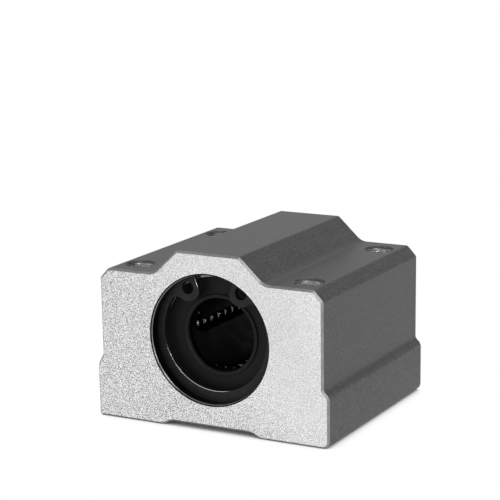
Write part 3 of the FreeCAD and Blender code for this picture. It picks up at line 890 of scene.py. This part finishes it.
@dataclass
class Housing:
    """Aluminium housing with tapped screw holes and a finish for each way of making.

    Cosines are between a face's normal and the shaft, or the upright for the base.
    """

    half_length: float = 18.0
    axis_height: float = AXIS_HEIGHT
    bore_radius: float = 10.5
    bore_reach: float = 11.2  # the bore with its grooves and bevels
    groove_reach: float = 10.8  # within it, faces square to the shaft are the bore's too
    end_zone: float = 1.0
    screw_across: float = 15.25
    screw_along: float = 13.0
    screw_wall_radius: float = 2.52  # round the threads
    shoulder_height: float = 25.0
    drilled_radius: float = 2.15
    thread_radius: float = 2.5
    thread_pitch: float = 0.8
    thread_depth: float = 12.0
    thread_root_flat: float = 0.1
    thread_start: float = 0.05  # below the shoulder
    thread_steps: int = 30
    flank_angle: float = 30.0
    cutter_overlap: float = 0.08  # how far the cutter reaches into the drilled hole
    relief_depth: float = 0.8
    facing_cosine: float = 0.9
    bevel_cosine: float = 0.3
    groove_side_cosine: float = 0.99
    sharp_angle: float = 28.0

    def screw_centres(self) -> list[Pair]:
        """Centres of the four screw holes, across and along the block."""
        sides = (-1, 1)
        return [(x * self.screw_across, y * self.screw_along) for x in sides for y in sides]

    def thread_section(self) -> list[Pair]:
        """The thread groove's section, from a little inside the hole.

        Returns:
            Its four corners as (radius, height).
        """
        inside = self.drilled_radius - self.cutter_overlap
        slope = math.tan(math.radians(self.flank_angle))
        root = self.thread_root_flat / 2
        mouth = root + (self.thread_radius - inside) * slope
        return [
            (inside, mouth),
            (self.thread_radius, root),
            (self.thread_radius, -root),
            (inside, -mouth),
        ]

    def thread_ring(self, across: float, along: float, step: int) -> list[Vector]:
        """The section at one step of its way down a hole.

        Args:
            across: Centre of the hole, across the block.
            along: Centre of the hole, along the block.
            step: Number of the step, from the top.

        Returns:
            Its corners in metres.
        """
        turned = -2 * math.pi * step / self.thread_steps
        top = self.shoulder_height - self.thread_start
        height = top - self.thread_pitch * step / self.thread_steps
        corners = []
        for radius, rise in self.thread_section():
            x, y = across + radius * math.cos(turned), along + radius * math.sin(turned)
            corners.append(Vector((x, y, height + rise)) * MM)
        return corners

    def thread_cutter(self) -> bpy.types.Object:
        """Makes four right-hand helical bars in the shape of the thread grooves.

        Returns:
            The bars as one object.
        """
        mesh = bmesh.new()
        count = round(self.thread_depth / self.thread_pitch * self.thread_steps)
        for across, along in self.screw_centres():
            rings = [
                [mesh.verts.new(corner) for corner in self.thread_ring(across, along, step)]
                for step in range(count + 1)
            ]
            for ring, after in zip(rings, rings[1:]):
                for corner in range(len(ring)):
                    beside = (corner + 1) % len(ring)
                    mesh.faces.new((ring[corner], after[corner], after[beside], ring[beside]))
            mesh.faces.new(rings[0])
            mesh.faces.new(reversed(rings[-1]))
        bmesh.ops.recalc_face_normals(mesh, faces=mesh.faces)
        return new_object("thread_cutter", mesh)

    def in_screw_hole(self, centre: Vector) -> bool:
        """Tells whether a place lies on the wall of a screw hole, below its cone.

        Args:
            centre: The place.

        Returns:
            True on such a wall.
        """
        below_cone = self.shoulder_height - (self.screw_wall_radius - self.drilled_radius)
        return centre.z < below_cone and any(
            math.hypot(centre.x - across, centre.y - along) < self.screw_wall_radius
            for across, along in self.screw_centres()
        )

    def surface_of(self, face: bmesh.types.BMFace) -> Surface:
        """Finds the kind of surface that a face belongs to.

        Args:
            face: A face of the housing.

        Returns:
            The surface.
        """
        centre = face.calc_center_median() / MM
        out = math.hypot(centre.x, centre.z - self.axis_height)
        endwards = abs(face.normal.y)
        at_end = abs(centre.y) > self.half_length - self.end_zone
        near_bore = out < self.bore_reach
        if near_bore and at_end and self.bevel_cosine < endwards < self.facing_cosine:
            return Surface.BORE_MOUTH
        if (near_bore and endwards < self.groove_side_cosine) or out < self.groove_reach:
            return Surface.BORE
        if self.in_screw_hole(centre):
            return Surface.SCREW_HOLE
        if endwards > self.facing_cosine:
            return Surface.END_FACE
        if endwards > self.bevel_cosine and at_end:
            return Surface.END_BEVEL
        if face.normal.z < -self.facing_cosine and centre.z < self.relief_depth / 2:
            return Surface.BASE
        return Surface.SKIN

    def finishes(self) -> dict[Surface, Finish]:
        """Chooses the finish of each surface.

        Returns:
            The finishes by surface.
        """
        return {
            Surface.SKIN: AnodisedSkin("anodised_skin"),
            Surface.END_FACE: BlastedFace("blasted_end_face"),
            Surface.END_BEVEL: CutMetal(
                "end_bevel", Marks.CHAMFERED, tone=0.27, roughness=0.42, edge_tone=0.55,
                variation=0.9,
            ),
            Surface.BORE: CutMetal(
                "turned_bore", Marks.TURNED, tone=0.03, roughness=0.3, edge_tone=0.3
            ),
            Surface.SCREW_HOLE: CutMetal(
                "tapped_hole", Marks.DRILLED, tone=0.85, roughness=0.26, marks_per_mm=9.0
            ),
            Surface.BASE: CutMetal(
                "milled_base", Marks.MILLED, tone=0.3, roughness=0.36, marks_per_mm=2.4
            ),
            Surface.BORE_MOUTH: BoreMouth("bore_mouth", self.bore_radius),
        }

    def build(self) -> list[bpy.types.Object]:
        """Makes the housing with its threads cut, in place of the CAD node.

        Returns:
            The housing alone.
        """
        blank = new_object("housing_blank", cad_mesh("housing"))
        cutter = self.thread_cutter()
        cut = blank.modifiers.new("threads", "BOOLEAN")
        cut.operation = "DIFFERENCE"
        cut.solver = "EXACT"
        cut.object = cutter
        mesh = made_mesh(blank)
        bpy.data.objects.remove(cutter)
        shade_by_angle(mesh, self.sharp_angle)
        for face in mesh.faces:
            face.material_index = self.surface_of(face).value
        piece = new_object("tapped_housing", mesh)
        finishes = self.finishes()
        for surface in Surface:
            piece.data.materials.append(finishes[surface].build())
        even_normals(piece)
        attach(piece, BODY)
        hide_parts("housing")
        return [piece]


# Balls


@dataclass
class BallCircuits:
    """The balls of the four circuits, each row one piece of round balls."""

    circuits: int = 4
    subdivisions: int = 4

    @staticmethod
    def centres(node: str) -> tuple[list[Vector], float]:
        """Centres and radius of the balls in a CAD node.

        Args:
            node: Name of the CAD node, whose balls don't touch each other.

        Returns:
            The centres, and the radius of the balls, in metres.
        """
        mesh = cad_mesh(node)
        waiting = set(mesh.verts)
        centres, radius = [], 0.0
        for first in list(mesh.verts):
            if first not in waiting:
                continue
            ball, reached = [], [first]
            waiting.discard(first)
            while reached:
                corner = reached.pop()
                ball.append(corner.co.copy())
                for edge in corner.link_edges:
                    beside = edge.other_vert(corner)
                    if beside in waiting:
                        waiting.discard(beside)
                        reached.append(beside)
            middle = sum(ball, Vector()) / len(ball)
            centres.append(middle)
            radius = max((place - middle).length for place in ball)
        mesh.free()
        return centres, radius

    def build_row(self, node: str, name: str, material: bpy.types.Material) -> bpy.types.Object:
        """Makes round balls in place of one CAD node.

        Args:
            node: Name of the CAD node.
            name: Name of the new piece.
            material: Finish of the balls.

        Returns:
            The row.
        """
        centres, radius = self.centres(node)
        mesh = bmesh.new()
        for centre in centres:
            bmesh.ops.create_icosphere(
                mesh,
                subdivisions=self.subdivisions,
                radius=radius,
                matrix=Matrix.Translation(centre),
            )
        for face in mesh.faces:
            face.smooth = True
        piece = new_object(name, mesh)
        piece.data.materials.append(material)
        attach(piece, BODY)
        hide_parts(node)
        return piece

    def build(self) -> list[bpy.types.Object]:
        """Makes all loaded and returning rows.

        Returns:
            The rows, circuit by circuit.
        """
        material = PolishedSteel("polished_ball_steel").build()
        return [
            self.build_row(f"{part}_balls_{circuit}", f"{part}_row_{circuit}", material)
            for circuit in range(1, self.circuits + 1)
            for part in ("loaded", "returning")
        ]


# Bearing, seals and retaining rings


@dataclass
class Bearing:
    """Sleeve, cage, side rings and seals of the linear bearing."""

    lip_radius: float = 6.65

    def build(self) -> list[bpy.types.Object]:
        """Dresses the nodes of the bearing.

        Returns:
            The nodes' objects.
        """
        # the ground steel's low tone is painted shade for the sleeve inside the bore; the side
        # rings share it
        ground = CutMetal(
            "ground_bearing_steel", Marks.TURNED, tone=0.22, roughness=0.24, marks_per_mm=10.0,
            mark_depth=0.002, edge_tone=0.5,
        ).build()
        plastic = MouldedPlastic("moulded_cage_plastic").build()
        rubber = SealRubber("seal_rubber", self.lip_radius).build()
        pieces = [dress_node("bearing_sleeve", ground), dress_node("ball_cage", plastic)]
        for end in ENDS:
            pieces.append(dress_node(f"{end}_side_ring", ground))
            pieces.append(dress_node(f"{end}_seal", rubber))
        return pieces


@dataclass
class RetainingRings:
    """The two stamped rings that hold the bearing, with rounded corners on the CAD outline that
    carry wear and a painted highlight in places.

    A face belongs to a corner by the cosine between its normal and the shaft.
    """

    corner_radius: float = 0.07
    corner_steps: int = 2
    corner_cosines: Pair = (0.05, 0.98)
    flat_cosine: float = 0.9
    sharp_angle: float = 50.0

    def on_rim(self, edge: bmesh.types.BMEdge, level: float) -> bool:
        """Tells whether an edge bounds a ring's flat side.

        Args:
            edge: An edge of the ring.
            level: Place of that side along the shaft, in metres.

        Returns:
            True between the flat side and a wall.
        """
        flat = [abs(face.normal.y) > self.flat_cosine for face in edge.link_faces]
        in_level = all(abs(vertex.co.y - level) < SAME_PLACE for vertex in edge.verts)
        return in_level and flat.count(True) == 1

    def flat_loops(self, mesh: bmesh.types.BMesh) -> list[list[Vector]]:
        """Corners of each closed edge round the flat side of a ring that faces -Y.

        Args:
            mesh: Closed mesh of a flat ring that lies square to the shaft.

        Returns:
            One list of corners for the outline and for each hole.
        """
        low = min(vertex.co.y for vertex in mesh.verts)
        waiting = [edge for edge in mesh.edges if self.on_rim(edge, low)]
        loops = []
        while waiting:
            start, corner = waiting.pop().verts
            loop = [start.co.copy()]
            while corner is not start:
                loop.append(corner.co.copy())
                step = next(edge for edge in corner.link_edges if edge in waiting)
                waiting.remove(step)
                corner = step.other_vert(corner)
            loops.append(loop)
        return loops

    def rounded_plate(self, node: str) -> bmesh.types.BMesh:
        """Rounds every corner along a ring's outline and its holes.

        Args:
            node: Name of the ring's CAD node.

        Returns:
            The rounded ring in the node's place.
        """
        flat = cad_mesh(node)
        low = min(vertex.co.y for vertex in flat.verts)
        high = max(vertex.co.y for vertex in flat.verts)
        radius = self.corner_radius * MM
        outline = bpy.data.curves.new(f"{node}_outline", "CURVE")
        outline.dimensions = "2D"
        outline.fill_mode = "BOTH"
        outline.extrude = (high - low) / 2 - radius
        outline.bevel_depth = radius
        outline.bevel_resolution = self.corner_steps
        outline.offset = -radius
        for loop in self.flat_loops(flat):
            spline = outline.splines.new("POLY")
            spline.points.add(len(loop) - 1)
            for point, place in zip(spline.points, loop):
                point.co = (place.x, place.z, 0.0, 1.0)
            spline.use_cyclic_u = True
        flat.free()
        drawn = bpy.data.objects.new(outline.name, outline)
        link(drawn)
        mesh = made_mesh(drawn)
        upright = Matrix.Rotation(math.pi / 2, 4, "X")
        in_groove = Matrix.Translation((0.0, (low + high) / 2, 0.0))
        bmesh.ops.transform(mesh, matrix=in_groove @ upright, verts=mesh.verts)
        bmesh.ops.recalc_face_normals(mesh, faces=mesh.faces)
        return mesh

    def build_ring(
        self, end: str, blackened: bpy.types.Material, rubbed_and_highlight: bpy.types.Material
    ) -> bpy.types.Object:
        """Makes one ring in place of its CAD node.

        Args:
            end: The end of the block that it holds.
            blackened: Finish of its flats and walls.
            rubbed_and_highlight: Finish of its corners, partly wear and partly painted highlight.

        Returns:
            The ring.
        """
        node = f"{end}_retaining_ring"
        mesh = self.rounded_plate(node)
        least, most = self.corner_cosines
        for face in mesh.faces:
            face.material_index = int(least < abs(face.normal.y) < most)
        shade_by_angle(mesh, self.sharp_angle)
        piece = new_object(f"{end}_spring_ring", mesh)
        piece.data.materials.append(blackened)
        piece.data.materials.append(rubbed_and_highlight)
        even_normals(piece)
        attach(piece, BODY)
        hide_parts(node)
        return piece

    def build(self) -> list[bpy.types.Object]:
        """Makes both rings.

        Returns:
            The front ring and the rear ring.
        """
        blackened = BlackenedSpring("blackened_spring_steel").build()
        # corner finish: wear through the black together with a painted highlight
        rubbed_and_highlight = RubbedEdgeAndHighlight("rubbed_and_highlight_spring_edge").build()
        return [self.build_ring(end, blackened, rubbed_and_highlight) for end in ENDS]


# Studio


def direction(azimuth: float, elevation: float) -> Vector:
    """Direction in which something lies, as seen from the block.

    Args:
        azimuth: Angle round the block, from the front towards +X.
        elevation: Angle above the floor.

    Returns:
        The direction, of length 1.
    """
    turned, raised = math.radians(azimuth), math.radians(elevation)
    x, y = math.sin(turned) * math.cos(raised), -math.cos(turned) * math.cos(raised)
    return Vector((x, y, math.sin(raised)))


@dataclass(frozen=True)
class Lamp:
    """A square soft lamp that points at the block; its distance and side are in metres."""

    name: str
    azimuth: float
    elevation: float
    distance: float
    side: float
    radiance: float

    def build(self, target: Vector) -> None:
        """Adds the lamp.

        Args:
            target: What it points at, in metres.
        """
        back = direction(self.azimuth, self.elevation)
        data = bpy.data.lights.new(self.name, "AREA")
        data.shape = "SQUARE"
        data.size = self.side
        data.energy = self.radiance * math.pi * self.side**2
        lamp = bpy.data.objects.new(self.name, data)
        lamp.location = target + back * self.distance
        lamp.rotation_euler = (-back).to_track_quat("-Z", "Y").to_euler()
        link(lamp)


@dataclass
class Studio:
    """Pale floor, plain soft light and the camera; floor, shadow and clip are in metres."""

    floor_half_side: float = 4.0
    floor_tone: float = 0.9
    shadow_reach: float = 0.0032
    shadow_range: Pair = (0.2, 0.75)
    shadow_samples: int = 16
    sky_low: float = 1.0
    sky_high: float = 0.7
    horizon: Pair = (-0.1, 0.25)
    target: Triple = (0.0, -1.2, 12.6)
    azimuth: float = 28.37
    elevation: float = 14.89
    roll: float = -0.83
    distance: float = 293.2
    focal_length: float = 127.47
    sensor_width: float = 36.0
    shift: Pair = (-0.0183, 0.1617)
    clip_start: float = 0.01
    lamps: tuple[Lamp, ...] = (
        Lamp("key_lamp", 44.0, 42.0, 0.55, 0.16, 6.0),
        Lamp("front_lamp", -30.0, 20.0, 0.6, 0.3, 1.2),
        Lamp("glint_lamp", 44.0, 9.0, 0.6, 0.04, 110.0),
        Lamp("top_lamp", -152.0, 75.0, 0.6, 0.06, 50.0),
    )

    def build_floor(self) -> None:
        """Pale floor that keeps the block's shadow close by and is plain white elsewhere."""
        mesh = bmesh.new()
        bmesh.ops.create_grid(mesh, x_segments=1, y_segments=1, size=self.floor_half_side)
        floor = new_object("studio_floor", mesh)
        floor.location.z = CAD_BOX[0].z
        material = bpy.data.materials.new("studio_floor")
        material.use_nodes = True
        graph = Graph(material.node_tree)
        pale = graph.node(
            "ShaderNodeBsdfDiffuse", None, {"Color": grey(self.floor_tone), "Roughness": 0.0}
        )
        white = graph.node("ShaderNodeEmission", None, {"Color": grey(1.0), "Strength": 1.0})
        openness = graph.node(
            "ShaderNodeAmbientOcclusion",
            {"samples": self.shadow_samples},
            {"Distance": self.shadow_reach},
            "AO",
        )
        plain = graph.ramp(openness, *self.shadow_range) * self.seen(graph)
        surface = graph.node("ShaderNodeMixShader", None, {0: plain, 1: pale, 2: white})
        graph.node("ShaderNodeOutputMaterial", None, {"Surface": surface})
        floor.data.materials.append(material)

    @staticmethod
    def seen(graph: Graph) -> Wire:
        """What the camera sees by itself, in a reflection or through glass.

        Args:
            graph: Tree of the floor's material.

        Returns:
            1 for such light and 0 for the rest.
        """
        camera = graph.node("ShaderNodeLightPath", output="Is Camera Ray")
        glossy = graph.node("ShaderNodeLightPath", output="Is Glossy Ray")
        through = graph.node("ShaderNodeLightPath", output="Is Transmission Ray")
        rays = camera + glossy + through
        return graph.node("ShaderNodeMath", {"operation": "MINIMUM"}, {0: rays, 1: 1.0})

    def build_world(self) -> None:
        """Soft light from all round, a little dimmer overhead, and white behind the floor."""
        world = bpy.data.worlds.new("studio_world")
        bpy.context.scene.world = world
        world.use_nodes = True
        graph = Graph(world.node_tree)
        height = graph.part(graph.node("ShaderNodeTexCoord", output="Generated"), "Z")
        strength = graph.ramp(height, *self.horizon, self.sky_low, self.sky_high)
        camera = graph.node("ShaderNodeLightPath", output="Is Camera Ray")
        light = graph.node("ShaderNodeBackground", None, {"Color": grey(1.0), "Strength": strength})
        white = graph.node("ShaderNodeBackground", None, {"Color": grey(1.0), "Strength": 1.0})
        surface = graph.node("ShaderNodeMixShader", None, {0: camera, 1: light, 2: white})
        graph.node("ShaderNodeOutputWorld", None, {"Surface": surface})

    def build_camera(self) -> None:
        """The camera, with its small roll and shift."""
        rolled = math.radians(self.roll)
        back = direction(self.azimuth, self.elevation)
        right = (-back).cross(Vector((0, 0, 1))).normalized()
        up = right.cross(-back)
        across = math.cos(rolled) * right + math.sin(rolled) * up
        upright = math.cos(rolled) * up - math.sin(rolled) * right
        data = bpy.data.cameras.new("camera")
        data.sensor_width = self.sensor_width
        data.lens = self.focal_length
        data.shift_x, data.shift_y = self.shift
        data.clip_start = self.clip_start
        camera = bpy.data.objects.new("camera", data)
        place = Matrix.Translation((Vector(self.target) + back * self.distance) * MM)
        camera.matrix_world = place @ Matrix((across, upright, back)).transposed().to_4x4()
        link(camera)
        bpy.context.scene.camera = camera

    def build(self) -> None:
        """The whole studio."""
        bpy.context.scene.view_settings.view_transform = "Standard"
        self.build_floor()
        self.build_world()
        for lamp in self.lamps:
            lamp.build(Vector(self.target) * MM)
        self.build_camera()


# Whole scene


class SubAssembly(Protocol):
    """What the housing, the balls, the bearing and the rings have in common."""

    def build(self) -> list[bpy.types.Object]:
        """Builds and dresses the pieces."""


def report(piece: bpy.types.Object) -> None:
    """Logs a piece's name, its faces and its finishes."""
    finishes = ", ".join(dict.fromkeys(place.material.name for place in piece.material_slots))
    log.info("%s: %d faces, %s", piece.name, len(piece.data.polygons), finishes)


def main() -> None:
    """Builds each sub-assembly in order, then the studio."""
    logging.basicConfig(level=logging.INFO, format="%(message)s")
    parts: tuple[SubAssembly, ...] = (Housing(), BallCircuits(), Bearing(), RetainingRings())
    for part in parts:
        for piece in part.build():
            report(piece)
    Studio().build()


if __name__ == "__main__":
    main()
